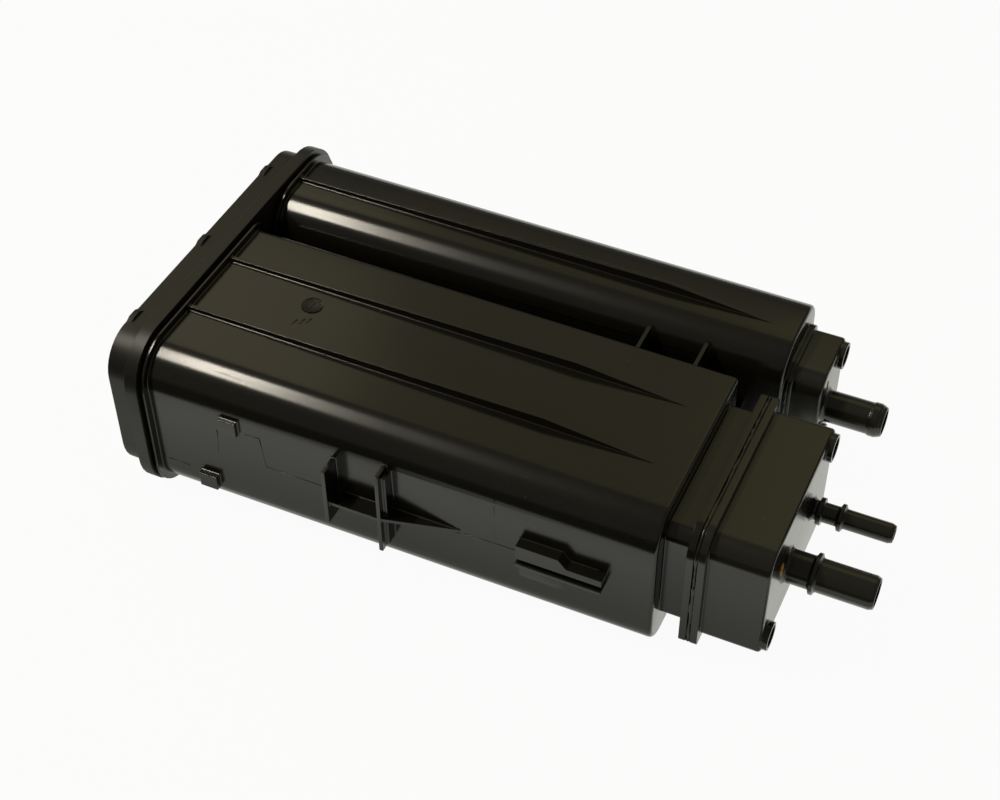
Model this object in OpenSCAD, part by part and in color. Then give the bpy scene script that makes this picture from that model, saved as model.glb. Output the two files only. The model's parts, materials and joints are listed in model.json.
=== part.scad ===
// Charcoal canister of a fuel vapour system: a two-chamber box of welded black nylon.
// X runs from the bottom cover to the hose ports, Y across the two chambers, Z is up.
// The origin is at the middle of the bottom of the whole part.

/* [Chambers] */
// Width of the main chamber
main_w = 106; // [95:1:120]
// Width of the vent chamber
vent_w = 54; // [48:1:70]
// Open valley between the two chambers
valley_w = 18; // [14:1:30]
// Height of both chambers at mid length
chamber_h = 83; // [76:0.5:98]
// Length of the main chamber past the weld flange
main_len = 257.5; // [240:0.5:300]
// Length of the vent chamber past the weld flange
vent_len = 273; // [256:0.5:315]
// Wall thickness of the moulded shells
wall = 2.5; // [2:0.1:3]
// Draft of the chambers' side and top walls in degrees
draft = 0.55; // [0:0.05:0.8]
// Radius along the near top edge of the main chamber
main_top_r = 17.5; // [12:0.5:24]
// Radius along the near top edge of the vent chamber
vent_near_r = 18; // [8:1:20]
// Radius along the far top edge of the vent chamber
vent_far_r = 17; // [8:1:22]
// Radius along the bottom edges
bottom_r = 16; // [8:0.5:20]
// Radius along the main chamber's edge beside the valley
valley_r = 3; // [2.6:0.1:6]
// Rounding where the chamber walls meet the end walls
end_r = 2; // [1:0.5:4]

/* [Weld flange and cover] */
// How far the weld flange stands out from the chambers' sides and tops
flange_grow = 7.4; // [6:0.1:9]
// How far the weld flange stands out below the chambers
flange_low = 4.2; // [3:0.1:8]
// Radius of the weld flange's low corners
flange_low_r = 25; // [18:0.5:30]
// Thickness of the housing's half of the weld flange
flange_t = 6.5; // [5:0.5:10]
// How far the bottom cover stands out from the chambers' sides and tops
cover_grow = 1.7; // [1.5:0.1:4]
// How far the bottom cover stands out below the chambers
cover_low = 0.6; // [0.5:0.1:3]
// Radius of the bottom cover's low corners
cover_low_r = 22; // [18:0.5:26]
// Depth of the bottom cover
cover_depth = 12.9; // [9:0.1:16]
// Thickness of the bottom cover's plate
cover_t = 2.5; // [2:0.1:3]
// Bays between the upright ribs on the bottom cover's plate
cover_bays = 6; // [4:1:8]
// Rows between the level ribs on the bottom cover's plate
cover_rows = 3; // [2:1:4]
// Spacing of the three low lugs on the bottom cover
lug_pitch = 62; // [40:1:66]
// How far the middle lug lies off the middle of the cover
lug_shift = 3; // [0:0.5:6]
// Width of a lug at its foot
lug_w = 10; // [6:0.5:14]
// Length of a lug
lug_len = 3; // [2:0.5:5]
// Height of a lug, and the run of its sloping ends
lug_h = 1.3; // [0.8:0.1:2]
// Gap between the flange and the stiffening ridge
ridge_gap = 1.2; // [0.8:0.1:3]
// Height of the stiffening ridge round each chamber
ridge_h = 3.7; // [1:0.1:5]
// Width of the stiffening ridge
ridge_w = 1.4; // [1:0.1:3]
// Half width of the groove along a weld seam
groove_w = 1; // [0.5:0.1:1.5]
// Depth of the groove along a weld seam
groove_d = 1.2; // [0.5:0.1:2]

/* [Long ribs and webs] */
// Thickness of the long ribs
rib_t = 2; // [1.5:0.1:3]
// Rib height beside the weld flange
rib_h_start = 1.2; // [0.5:0.1:2]
// Rib height at its highest point
rib_h_crest = 3.2; // [1:0.1:4]
// Distance of the crest from the weld flange
rib_crest = 134; // [80:0.5:180]
// Distance of the main ribs' tips from the main chamber's end
main_rib_gap = 15; // [8:0.5:60]
// Distance of the vent rib's tip from the vent chamber's end
vent_rib_gap = 13.5; // [8:0.5:60]
// Place of the first main rib from the near wall
main_rib_near = 38.4; // [30:0.1:45]
// Spacing of the two main ribs
main_rib_pitch = 39.3; // [20:0.1:45]
// Place of the vent rib from the vent chamber's near wall
vent_rib_near = 23.5; // [14:0.5:34]
// Thickness of the webs that tie the chambers together
web_t = 2; // [1.5:0.1:3]
// Distance of the first cross web from the main chamber's end
web_back = 53; // [45:1:150]
// Spacing of the two cross webs
web_pitch = 29; // [15:1:40]
// How far the cross webs end below the chamber tops
web_drop = 5.5; // [2:0.5:20]

/* [Main port cap] */
// Inset of the neck from the near wall
neck_near = 10.3; // [9:0.1:14]
// Inset of the neck from the valley wall
neck_far = 10.3; // [9:0.1:14]
// Inset of the neck from the bottom wall
neck_low = 17.4; // [12:0.1:22]
// Inset of the neck from the top wall
neck_high = 9.6; // [8:0.1:14]
// Length of the neck
neck_len = 12; // [8:0.1:16]
// Radius of the neck's near top corner
neck_top_r = 7; // [4:0.5:16]
// Radius of the neck's other corners
neck_r = 2.5; // [1:0.5:6]
// How far the neck's weld flange stands out from the neck
neck_flange_grow = 6.3; // [4:0.1:7]
// Radius of the other corners of the neck's weld flange
neck_flange_r = 2; // [2:0.5:8]
// Thickness of each half of the neck's weld flange
neck_flange_t = 4.4; // [2.5:0.1:5]
// How far the cap's walls stand out from the neck
cap_grow = 2.6; // [2.6:0.1:4]
// Radius of the cap's other corners
cap_r = 3.5; // [3.5:0.5:7]
// Depth of the port cap past its flange
cap_len = 28; // [20:0.5:40]
// Rounding of the end edges of both caps
cap_edge_r = 1.5; // [1:0.5:2]

/* [Vent cap] */
// Inset of the vent cap from the valley wall of the vent chamber
vent_cap_near = 5; // [4.5:0.5:10]
// Inset of the vent cap from the far wall
vent_cap_far = 11; // [6:0.5:16]
// Inset of the vent cap from the bottom wall
vent_cap_low = 21.6; // [16:0.1:26]
// Inset of the vent cap from the top wall
vent_cap_high = 14; // [8:0.5:20]
// Radius of the vent cap's near top corner
vent_cap_top_r = 10; // [4:0.5:12]
// Radius of the vent cap's other corners
vent_cap_r = 4; // [3:0.5:6]
// How far the vent cap's weld flange stands out from it
vent_flange_grow = 2.2; // [1.5:0.1:2.5]
// Thickness of each half of the vent cap's weld flange
vent_flange_t = 1.7; // [1.5:0.1:3]
// Depth of the vent cap past its flange
vent_cap_len = 15; // [10:0.1:20]

/* [Hose ports] */
// Outer diameter of the tank port
tank_d = 15.8; // [12:0.1:18]
// Length of the tank port past the cap
tank_len = 41; // [38:0.5:55]
// Distance of the tank port's bead from its tip
tank_bead = 27.9; // [20:0.1:30]
// Place of the tank port from the near wall
tank_y = 37.5; // [34:0.5:40]
// Outer diameter of the purge port
purge_d = 9.5; // [8:0.1:12]
// Length of the purge port past the cap
purge_len = 38.3; // [35:0.1:50]
// Distance of the purge port's bead from its tip
purge_bead = 24.5; // [18:0.1:26]
// Place of the purge port from the near wall
purge_y = 74; // [70:0.5:78]
// Height of the tank and purge ports above the chamber bottom
port_z = 45.1; // [42:0.1:50]
// Outer diameter of the vent port
vent_d = 15.8; // [12:0.1:18]
// Length of the vent port past the cap
vent_port_len = 29.3; // [24:0.1:40]
// Place of the vent port from the vent chamber's near wall
vent_y = 18; // [16:0.5:22]
// Height of the vent port above the chamber bottom
vent_z = 44.3; // [42:0.1:50]
// Distance of the vent port's low bead from its tip
vent_bead = 4.5; // [4:0.1:8]
// Width of the vent port's low bead
vent_bead_w = 3; // [2:0.1:4]
// Height of the vent port's low bead
vent_bead_h = 0.5; // [0.4:0.1:1.2]
// Wall thickness of the ports
port_wall = 1.7; // [1.4:0.1:2]
// How far a hose bead stands out from its port
bead_h = 1.8; // [1:0.1:2.5]
// Width of a hose bead's crown
bead_w = 1.6; // [1:0.1:3]
// Run of a hose bead's sloping sides
bead_slope = 0.8; // [0.4:0.1:1.2]
// Place of the purge port's stop ring from the cap's end face
ring_x = 3; // [2:0.5:7]
// Width of the purge port's stop ring
ring_w = 2.2; // [1:0.1:3]
// Height and run of the flare at a port's root
root_h = 1.5; // [0.5:0.1:1.8]
// Length of the taper at a port's tip
tip_len = 2; // [1:0.5:4]
// Depth of the taper at a port's tip
tip_h = 0.75; // [0.3:0.05:1.2]

/* [Corner bosses] */
// Outer diameter of the hollow corner bosses
boss_d = 13.5; // [11:0.5:13.5]
// Diameter of the hollow in each boss
boss_bore = 10.5; // [6:0.5:10.5]
// How far the bosses stand out from the end faces
boss_h = 2.6; // [2:0.1:6]
// Distance of a boss centre from the two walls of its corner
boss_inset = 7; // [7:0.5:9]

/* [Side brackets] */
// Height of the bracket fin and the hook slot above the chamber bottom
fin_z = 39.1; // [34:0.1:46]
// Thickness of the bracket tabs and fin
tab_t = 2; // [1.5:0.1:3]
// Place of the left bracket tab from the weld flange
tab_x = 99.5; // [80:0.5:110]
// Depth of the left bracket tab
tab_d = 11; // [6:0.5:14]
// Distance between the two bracket tabs
tab_pitch = 26.5; // [18:0.5:30]
// Depth of the right bracket tab and the fin
stop_d = 9; // [5:0.5:11]
// Length of the fin
fin_len = 64; // [40:1:80]
// Distance of the hook pad's left end from the main chamber's end
hook_back = 64; // [55:0.5:75]
// Length of the hook pad
hook_len = 41.5; // [30:0.5:50]
// How far the left bracket tab reaches below the fin
tab_below = 11.5; // [6:0.5:16]
// Height of the left bracket tab
tab_h = 33.5; // [20:0.5:40]
// How far the right bracket tab reaches below the fin
stop_below = 21; // [12:0.5:24]
// Height of the right bracket tab
stop_h = 49.5; // [30:0.5:52]
// How far the stop plate is set in from the right bracket tab's ends and edge
stop_step = 3; // [2:0.5:4.5]
// How far the hook pad stands out from the wall
hook_d = 5; // [3:0.5:8]
// Height of the slot in the hook pad
hook_slot = 2.2; // [1.5:0.1:4]
// Height of the hook pad's ledge above the slot
hook_ledge = 8.5; // [6:0.5:12]
// Height of the hook pad's shoulder, and the run of its slope
hook_shoulder = 4; // [2:0.5:6]
// Height of the lip under the slot
hook_lip = 2; // [1:0.5:3]
// Length of the two locating blocks on the near wall
block_len = 9.5; // [6:0.5:14]
// Height of the two locating blocks
block_h = 8.5; // [5:0.5:10]
// Place of the upper block from the weld flange
upper_block_x = 40.5; // [30:0.5:55]
// Height of the upper block above the chamber bottom
upper_block_z = 55; // [46:0.5:58]
// Depth of the upper block
upper_block_d = 3.2; // [2:0.1:5]
// Place of the lower block from the weld flange
lower_block_x = 26; // [16:0.5:40]
// Height of the lower block above the chamber bottom
lower_block_z = 14; // [12:0.5:20]
// Depth of the lower block
lower_block_d = 4.2; // [2:0.1:6]

/* [Feet] */
// Distance of the feet from the main chamber's end
foot_back = 24; // [15:1:60]
// Length of a foot
foot_len = 10; // [6:1:20]

/* [Inner pieces] */
// Distance of the compression plates from the weld seam
plate_x = 24; // [21:0.5:34]
// Thickness of the compression plates
plate_t = 3; // [2:0.1:5]
// Size of each opening in the compression plates
mesh_w = 6; // [4:0.5:8]
// Spacing of the openings in the compression plates
mesh_pitch = 9; // [8.5:0.5:12]
// Solid edge left round the openings in the compression plates
mesh_edge = 4; // [2:0.5:6]
// Wall of the rings that hold the springs
spring_ring_t = 1.6; // [1.2:0.1:2]
// Height of the spring rings on the bottom cover
cover_ring_h = 3; // [2:0.5:5]
// Height of the spring rings on the compression plates
plate_ring_h = 2.5; // [2:0.5:4]
// Diameter of the posts that hold the port pads
post_d = 6; // [4:0.5:8]
// Thickness of the foam pads
pad_t = 8; // [5:0.5:9]
// Clearance of the inner pieces from their walls
fit = 0.3; // [0.2:0.05:0.5]
// Thickness of the divider between the purge and the tank side
divider_t = 2; // [1.5:0.1:3]
// Mean diameter of the springs
spring_d = 22; // [16:1:26]
// Wire diameter of the springs
wire_d = 1.8; // [1.2:0.1:2.2]
// Active turns of the springs
spring_turns = 3.5; // [2.5:0.5:4.5]

/* [Hidden] */

NYLON = [0.12, 0.12, 0.11];
CHARCOAL = [0.05, 0.05, 0.05];
FOAM = [0.62, 0.62, 0.58];
PLATE_NYLON = [0.25, 0.25, 0.24];
SPRING_STEEL = [0.6, 0.6, 0.62];

// Thickness of the end stations of a loft, and overlap of pieces that are joined
skin = 0.02;
hull_skin = 0.25;
sink = 1;
min_r = 0.4;
small_steps = 5;
large_steps = 9;
$fn = 64;

// Stations along X, measured from the weld seam of the bottom cover
x_mid = flange_t + main_len / 2;
x_main_end = flange_t + main_len;
x_vent_end = flange_t + vent_len;
x_neck = x_main_end + neck_len;
x_cap_seam = x_neck + neck_flange_t;
x_cap_base = x_cap_seam + neck_flange_t;
x_cap_end = x_cap_base + cap_len;
x_vent_seam = x_vent_end + vent_flange_t;
x_vent_base = x_vent_seam + vent_flange_t;
x_vent_cap_end = x_vent_base + vent_cap_len;
x_pad = plate_x + plate_t;
x_carbon = x_pad + pad_t;
x_cover_plate = -cover_depth + (cover_depth - cover_t) / 2;
x_spring_seat = x_cover_plate + cover_t;

// Walls of the chambers at mid length
y_near = -(main_w + valley_w + vent_w) / 2;
y_main_far = y_near + main_w;
y_vent_near = y_main_far + valley_w;
y_far = y_vent_near + vent_w;
z_low = flange_low;
z_high = z_low + chamber_h;

// Middle of the whole part, which becomes the origin
x_middle = (x_cap_end + max(tank_len, purge_len) - cover_depth) / 2;
y_middle = (y_far + flange_grow + y_near - max(tab_d, stop_d, flange_grow)) / 2;

// A section is [near, far, low, high, radii], radii from near low round to near high
MAIN = [y_near, y_main_far, z_low, z_high, [bottom_r, bottom_r, valley_r, main_top_r]];
VENT = [y_vent_near, y_far, z_low, z_high, [bottom_r, bottom_r, vent_far_r, vent_near_r]];
BOTH = [y_near, y_far, z_low, z_high, [bottom_r, bottom_r, vent_far_r, main_top_r]];
FLANGE = rim(flange_grow, flange_low, flange_low_r);
COVER = rim(cover_grow, cover_low, cover_low_r);
NECK = [y_near + neck_near, y_main_far - neck_far, z_low + neck_low, z_high - neck_high,
    corner_radii(neck_r, neck_top_r)];
NECK_FLANGE = with_radii(grown(NECK, neck_flange_grow),
    corner_radii(neck_flange_r, neck_top_r + neck_flange_grow));
CAP = with_radii(grown(NECK, cap_grow), corner_radii(cap_r, neck_top_r + cap_grow));
VENT_CAP = [y_vent_near + vent_cap_near, y_far - vent_cap_far,
    z_low + vent_cap_low, z_high - vent_cap_high, corner_radii(vent_cap_r, vent_cap_top_r)];

// Three equal corners and a rounder near top corner
function corner_radii(r, near_top_r) = [r, r, r, near_top_r];

function with_radii(s, radii) = [s[0], s[1], s[2], s[3], radii];

// A rim round both chambers that stands out by one amount at the sides and top, by another below
function rim(g, low, low_r) =
    [y_near - g, y_far + g, z_low - low, z_high + g, [low_r, low_r, vent_far_r + g, main_top_r + g]];

function grown(s, g) =
    [s[0] - g, s[1] + g, s[2] - g, s[3] + g, [for (r = s[4]) max(r + g, min_r)]];

// How far a drafted wall has come in at a station along X
function taper(x) = (x - x_mid) * tan(draft);

// A chamber's section at a station: its sides and top are drafted, its bottom stays level
function drawn_in(s, x, inset) = let (t = taper(x) + inset)
    [s[0] + t, s[1] - t, s[2] + inset, s[3] - t, [for (r = s[4]) max(r - t, min_r)]];

// Points round a corner, fewer of them round a small one
function corner(y, z, r, a) = let (steps = r < bottom_r / 3 ? small_steps : large_steps)
    [for (i = [0:steps]) let (t = a + 90 * i / steps) [y + r * cos(t), z + r * sin(t)]];

function outline(s) = let (r = s[4]) concat(
    corner(s[0] + r[0], s[2] + r[0], r[0], 180),
    corner(s[1] - r[1], s[2] + r[1], r[1], 270),
    corner(s[1] - r[2], s[3] - r[2], r[2], 0),
    corner(s[0] + r[3], s[3] - r[3], r[3], 90));

module at_origin() {
    translate([-x_middle, -y_middle, 0]) children();
}

// A plate across X between two stations
module slab(s, x0, x1) {
    translate([x0, 0, 0]) rotate([90, 0, 90]) linear_extrude(x1 - x0) polygon(outline(s));
}

// A drafted chamber form with a rounded end
module drafted(s, x0, x1, inset, r) {
    hull() {
        slab(drawn_in(s, x0, inset), x0, x0 + hull_skin);
        for (a = r > 0 ? [0, 30, 60, 90] : [90]) {
            x = x1 - r * (1 - sin(a));
            slab(drawn_in(s, x1, inset + r * (1 - cos(a))), x - hull_skin, x);
        }
    }
}

// A closed block with straight walls and a rounded end
module rounded_block(s, x0, x1, r) {
    hull() {
        slab(s, x0, x0 + hull_skin);
        for (a = [0, 30, 60, 90]) {
            x = x1 - r * (1 - sin(a));
            slab(grown(s, -r * (1 - cos(a))), x - hull_skin, x);
        }
    }
}

// One half of a weld flange: the seam side is stepped back to leave a groove
module weld_flange(s, x_seam, x_face) {
    side = sign(x_face - x_seam);
    x_step = x_seam + side * groove_w;
    slab(s, min(x_step, x_face), max(x_step, x_face));
    slab(grown(s, -groove_d), min(x_seam, x_step), max(x_seam, x_step));
}

// A long rib on a chamber's top wall, highest at its crest and fading out at its tip
module long_rib(y, tip) {
    crest = min(flange_t + rib_crest, tip - sink);
    x_start = flange_t - sink;
    translate([0, y + rib_t / 2, 0]) rotate([90, 0, 0]) linear_extrude(rib_t) polygon([
        [x_start, z_high - taper(x_start) - sink],
        [x_start, z_high - taper(x_start) + rib_h_start],
        [crest, z_high - taper(crest) + rib_h_crest],
        [tip, z_high - taper(tip)],
        [tip, z_high - taper(tip) - sink]]);
}

module long_ribs() {
    for (i = [0, 1]) long_rib(y_near + main_rib_near + i * main_rib_pitch, x_main_end - main_rib_gap);
    long_rib(y_vent_near + vent_rib_near, x_vent_end - vent_rib_gap);
}

// The webs in the valley: one along its middle and two across it
module valley_webs() {
    z_web = (z_low + z_high) / 2;
    y0 = y_main_far - sink;
    dy = valley_w + 2 * sink;
    translate([flange_t - sink, y0, z_web - web_t / 2]) cube([main_len - end_r, dy, web_t]);
    for (i = [0, 1])
        translate([x_main_end - web_back + i * web_pitch, y0, z_web])
            cube([web_t, dy, chamber_h / 2 - web_drop]);
}

// A block on the near wall, from inside the wall out to its depth
module near_block(x, z, dx, dz, depth) {
    translate([x, y_near - depth, z]) cube([dx, depth + sink, dz]);
}

module locating_blocks() {
    near_block(flange_t + upper_block_x, z_low + upper_block_z, block_len, block_h, upper_block_d);
    near_block(flange_t + lower_block_x, z_low + lower_block_z, block_len, block_h, lower_block_d);
}

module slide_bracket() {
    x_tab = flange_t + tab_x;
    x_stop = x_tab + tab_pitch;
    z_fin = z_low + fin_z;
    near_block(x_tab, z_fin - tab_below, tab_t, tab_h, tab_d);
    near_block(x_stop, z_fin - stop_below, tab_t, stop_h, stop_d);
    near_block(x_stop + tab_t, z_fin - stop_below + stop_step,
        tab_t, stop_h - 2 * stop_step, stop_d - stop_step);
    translate([x_tab, y_near, z_fin - tab_t / 2]) linear_extrude(tab_t) polygon([
        [0, sink], [0, -stop_d], [tab_pitch, -stop_d], [fin_len, 0], [fin_len, sink]]);
}

// The hook pad: a ledge with a sloping shoulder over a slot, and a lip under it
module hook_pad() {
    x_hook = x_main_end - hook_back;
    z_top = z_low + fin_z + hook_slot / 2;
    translate([x_hook, y_near + sink, 0]) rotate([90, 0, 0]) linear_extrude(hook_d + sink)
        polygon([
            [0, z_top],
            [hook_len, z_top],
            [hook_len, z_top + hook_shoulder],
            [hook_len / 2 + hook_shoulder, z_top + hook_shoulder],
            [hook_len / 2, z_top + hook_ledge],
            [0, z_top + hook_ledge]]);
    near_block(x_hook, z_top - hook_slot - hook_lip, hook_len, hook_lip, hook_d - hook_lip);
}

// A low foot under each chamber, level with the weld flange's lower edge
module chamber_feet() {
    for (s = [MAIN, VENT]) translate([x_main_end - foot_back, s[0] + bottom_r, 0])
        cube([foot_len, s[1] - s[0] - 2 * bottom_r, z_low + sink]);
}

// A thin ridge round a chamber, a little past the weld flange
module stiffening_ridge(s) {
    x_ridge = flange_t + ridge_gap;
    slab(drawn_in(s, flange_t, -ridge_h), x_ridge, x_ridge + ridge_w);
}

module housing() {
    color(NYLON) difference() {
        union() {
            slab(FLANGE, 0, flange_t);
            stiffening_ridge(MAIN);
            stiffening_ridge(VENT);
            drafted(MAIN, flange_t - sink, x_main_end, 0, end_r);
            drafted(VENT, flange_t - sink, x_vent_end, 0, end_r);
            long_ribs();
            valley_webs();
            slab(NECK, x_main_end - sink, x_neck + sink);
            weld_flange(NECK_FLANGE, x_cap_seam, x_neck);
            slab(grown(VENT_CAP, vent_flange_grow), x_vent_end - sink, x_vent_seam);
            locating_blocks();
            slide_bracket();
            hook_pad();
            chamber_feet();
        }
        slab(drawn_in(BOTH, 0, wall + fit), -sink, flange_t - wall);
        drafted(MAIN, flange_t - wall - sink, x_main_end - wall, wall, 0);
        drafted(VENT, flange_t - wall - sink, x_vent_end - wall, wall, 0);
        slab(grown(NECK, -wall), x_main_end - wall - sink, x_cap_seam + sink);
        slab(grown(VENT_CAP, -wall), x_vent_end - wall - sink, x_vent_seam + sink);
    }
}

// Places of the springs across the cover, as [y, z]
z_spring = (z_low + z_high) / 2;
y_main_mid = (y_near + y_main_far) / 2;
y_vent_mid = (y_vent_near + y_far) / 2;
spring_spread = main_w / 4;
SPRING_NEAR = [y_main_mid - spring_spread, z_spring];
SPRING_FAR = [y_main_mid + spring_spread, z_spring];
SPRING_VENT = [y_vent_mid, z_spring];

// A ring that keeps a spring in its place
module spring_ring(at, x0, x1) {
    r = spring_d / 2 + wire_d / 2 + fit;
    translate([x0, at[0], at[1]]) rotate([0, 90, 0]) difference() {
        cylinder(h = x1 - x0, r = r + spring_ring_t);
        translate([0, 0, -sink]) cylinder(h = x1 - x0 + 2 * sink, r = r);
    }
}

module spring_rings(places, x0, x1) {
    for (at = places) spring_ring(at, x0, x1);
}

// A low lug on the cover's top edge, with sloping ends
module cover_lug(y) {
    translate([-cover_depth, y, z_high + cover_grow]) rotate([90, 0, 90]) linear_extrude(lug_len) polygon([
        [-lug_w / 2, -sink], [-lug_w / 2, 0], [-lug_w / 2 + 2 * lug_h, lug_h],
        [lug_w / 2 - 2 * lug_h, lug_h], [lug_w / 2, 0], [lug_w / 2, -sink]]);
}

module bottom_cover() {
    inside = grown(COVER, -wall - groove_d);
    recess = (cover_depth - cover_t) / 2;
    bay = (y_far - y_near) / cover_bays;
    row = chamber_h / cover_rows;
    color(NYLON) {
        difference() {
            weld_flange(COVER, 0, -cover_depth);
            slab(inside, -recess, sink);
            slab(inside, -cover_depth - sink, -cover_depth + recess);
        }
        intersection() {
            slab(grown(inside, sink), -cover_depth, x_cover_plate + skin);
            union() {
                for (i = [1:cover_bays - 1])
                    translate([-cover_depth, y_near + i * bay - rib_t / 2, 0])
                        cube([recess + skin, rib_t, z_high + z_low]);
                for (i = [1:cover_rows - 1])
                    translate([-cover_depth, y_near, z_low + i * row - rib_t / 2])
                        cube([recess + skin, y_far - y_near, rib_t]);
            }
        }
        for (i = [-1:1]) cover_lug(i * lug_pitch - lug_shift);
        spring_rings([SPRING_NEAR, SPRING_FAR, SPRING_VENT],
            x_spring_seat - skin, x_spring_seat + cover_ring_h);
    }
}

// A hose port along X: flared root, stop ring if it has one, tube, hose bead and a tapered tip
module hose_port(d, length, bead_from_tip, crown_w, crown_h, ringed) {
    r = d / 2;
    bead = length - bead_from_tip;
    root = [[0, -sink], [r + root_h, -sink], [r + root_h, 0], [r, root_h]];
    ring = [[r, ring_x], [r + bead_h, ring_x], [r + bead_h, ring_x + ring_w], [r, ring_x + ring_w]];
    tube = [[r, bead - crown_w / 2 - bead_slope],
        [r + crown_h, bead - crown_w / 2],
        [r + crown_h, bead + crown_w / 2],
        [r, bead + crown_w / 2 + bead_slope],
        [r, length - tip_len],
        [r - tip_h, length],
        [0, length]];
    rotate([0, 90, 0]) rotate_extrude() polygon(concat(root, ringed ? ring : [], tube));
}

module port_bore(d, x0, length) {
    translate([x0, 0, 0]) rotate([0, 90, 0]) cylinder(h = length, d = d - 2 * port_wall);
}

// Hollow bosses at the far top and the near low corner of a cap
function boss_places(s) =
    [[s[1] - boss_inset, s[3] - boss_inset], [s[0] + boss_inset, s[2] + boss_inset]];

module corner_bosses(s, x_face) {
    for (at = boss_places(s)) translate([x_face - sink, at[0], at[1]]) rotate([0, 90, 0])
        cylinder(h = boss_h + sink, d = boss_d);
}

module boss_hollows(s, x_face) {
    for (at = boss_places(s)) translate([x_face, at[0], at[1]]) rotate([0, 90, 0])
        cylinder(h = boss_h + sink, d = boss_bore);
}

TANK_PORT = [y_near + tank_y, z_low + port_z];
PURGE_PORT = [y_near + purge_y, z_low + port_z];
VENT_PORT = [y_vent_near + vent_y, z_low + vent_z];
y_divider = (TANK_PORT[0] + PURGE_PORT[0]) / 2;
x_port_pad = x_main_end - wall + fit;
x_port_pad_end = x_port_pad + pad_t;

// The divider that keeps fresh vapour apart from purged vapour
module port_divider() {
    bore = grown(NECK, -wall - fit);
    intersection() {
        translate([x_port_pad, y_divider - divider_t / 2, 0])
            cube([x_cap_end - x_port_pad, divider_t, z_high]);
        union() {
            slab(bore, x_port_pad, x_cap_seam + sink);
            slab(grown(CAP, -wall / 2), x_cap_seam + sink - skin, x_cap_end - wall / 2);
        }
    }
}

// Posts on the cap's end wall that hold the pads off the ports
module pad_posts() {
    for (port = [TANK_PORT, PURGE_PORT], z = [CAP[2] + boss_d, CAP[3] - boss_d])
        translate([x_port_pad_end + fit, port[0], z]) rotate([0, 90, 0])
            cylinder(h = x_cap_end - wall / 2 - x_port_pad_end - fit, d = post_d);
}

module port_cap() {
    color(NYLON) {
        difference() {
            union() {
                weld_flange(NECK_FLANGE, x_cap_seam, x_cap_base);
                rounded_block(CAP, x_cap_seam + groove_w / 2, x_cap_end, cap_edge_r);
                translate([x_cap_end, TANK_PORT[0], TANK_PORT[1]])
                    hose_port(tank_d, tank_len, tank_bead, bead_w, bead_h, false);
                translate([x_cap_end, PURGE_PORT[0], PURGE_PORT[1]])
                    hose_port(purge_d, purge_len, purge_bead, bead_w, bead_h, true);
                corner_bosses(CAP, x_cap_end);
            }
            slab(grown(CAP, -wall), x_cap_seam - sink, x_cap_end - wall);
            boss_hollows(CAP, x_cap_end);
            translate([x_cap_end - wall, TANK_PORT[0], TANK_PORT[1]])
                port_bore(tank_d, -sink, tank_len + wall + 2 * sink);
            translate([x_cap_end - wall, PURGE_PORT[0], PURGE_PORT[1]])
                port_bore(purge_d, -sink, purge_len + wall + 2 * sink);
        }
        port_divider();
        pad_posts();
    }
}

module vent_cap() {
    color(NYLON) difference() {
        union() {
            slab(grown(VENT_CAP, vent_flange_grow), x_vent_seam, x_vent_base);
            rounded_block(VENT_CAP, x_vent_seam + vent_flange_t / 2, x_vent_cap_end, cap_edge_r);
            translate([x_vent_cap_end, VENT_PORT[0], VENT_PORT[1]])
                hose_port(vent_d, vent_port_len, vent_bead, vent_bead_w, vent_bead_h, false);
            corner_bosses(VENT_CAP, x_vent_cap_end);
        }
        slab(grown(VENT_CAP, -wall), x_vent_seam - sink, x_vent_cap_end - wall);
        boss_hollows(VENT_CAP, x_vent_cap_end);
        translate([x_vent_cap_end - wall, VENT_PORT[0], VENT_PORT[1]])
            port_bore(vent_d, -sink, vent_port_len + wall + 2 * sink);
    }
}

// What fills a chamber between two stations, clear of its walls
module chamber_fill(s, x0, x1) {
    drafted(s, x0, x1, wall + fit, 0);
}

module main_carbon_bed() {
    color(CHARCOAL) chamber_fill(MAIN, x_carbon, x_main_end - wall);
}

module vent_carbon_bed() {
    color(CHARCOAL) chamber_fill(VENT, x_carbon, x_vent_end - wall - pad_t);
}

module main_spring_pad() {
    color(FOAM) chamber_fill(MAIN, x_pad, x_carbon);
}

module vent_spring_pad() {
    color(FOAM) chamber_fill(VENT, x_pad, x_carbon);
}

module vent_port_pad() {
    color(FOAM) chamber_fill(VENT, x_vent_end - wall - pad_t, x_vent_end - wall);
}

// A foam pad in the neck, on one side of the divider
module neck_pad(y0, y1) {
    color(FOAM) intersection() {
        slab(grown(NECK, -wall - fit), x_port_pad, x_port_pad_end);
        translate([x_port_pad - sink, y0, 0]) cube([pad_t + 2 * sink, y1 - y0, z_high]);
    }
}

module tank_port_pad() {
    neck_pad(y_near, y_divider - divider_t / 2 - fit);
}

module purge_port_pad() {
    neck_pad(y_divider + divider_t / 2 + fit, y_main_far);
}

// Room between a point and the rounded corners of a section, as far as it lies in one of them
function corner_room(s, y, z) = min([for (i = [0:3])
    let (r = s[4][i], side = i == 0 || i == 3 ? -1 : 1, level = i < 2 ? -1 : 1,
        dy = side * (y - s[side < 0 ? 0 : 1]) + r, dz = level * (z - s[level < 0 ? 2 : 3]) + r)
    dy > 0 && dz > 0 ? r - norm([dy, dz]) : s[3] - s[2]]);

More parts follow.
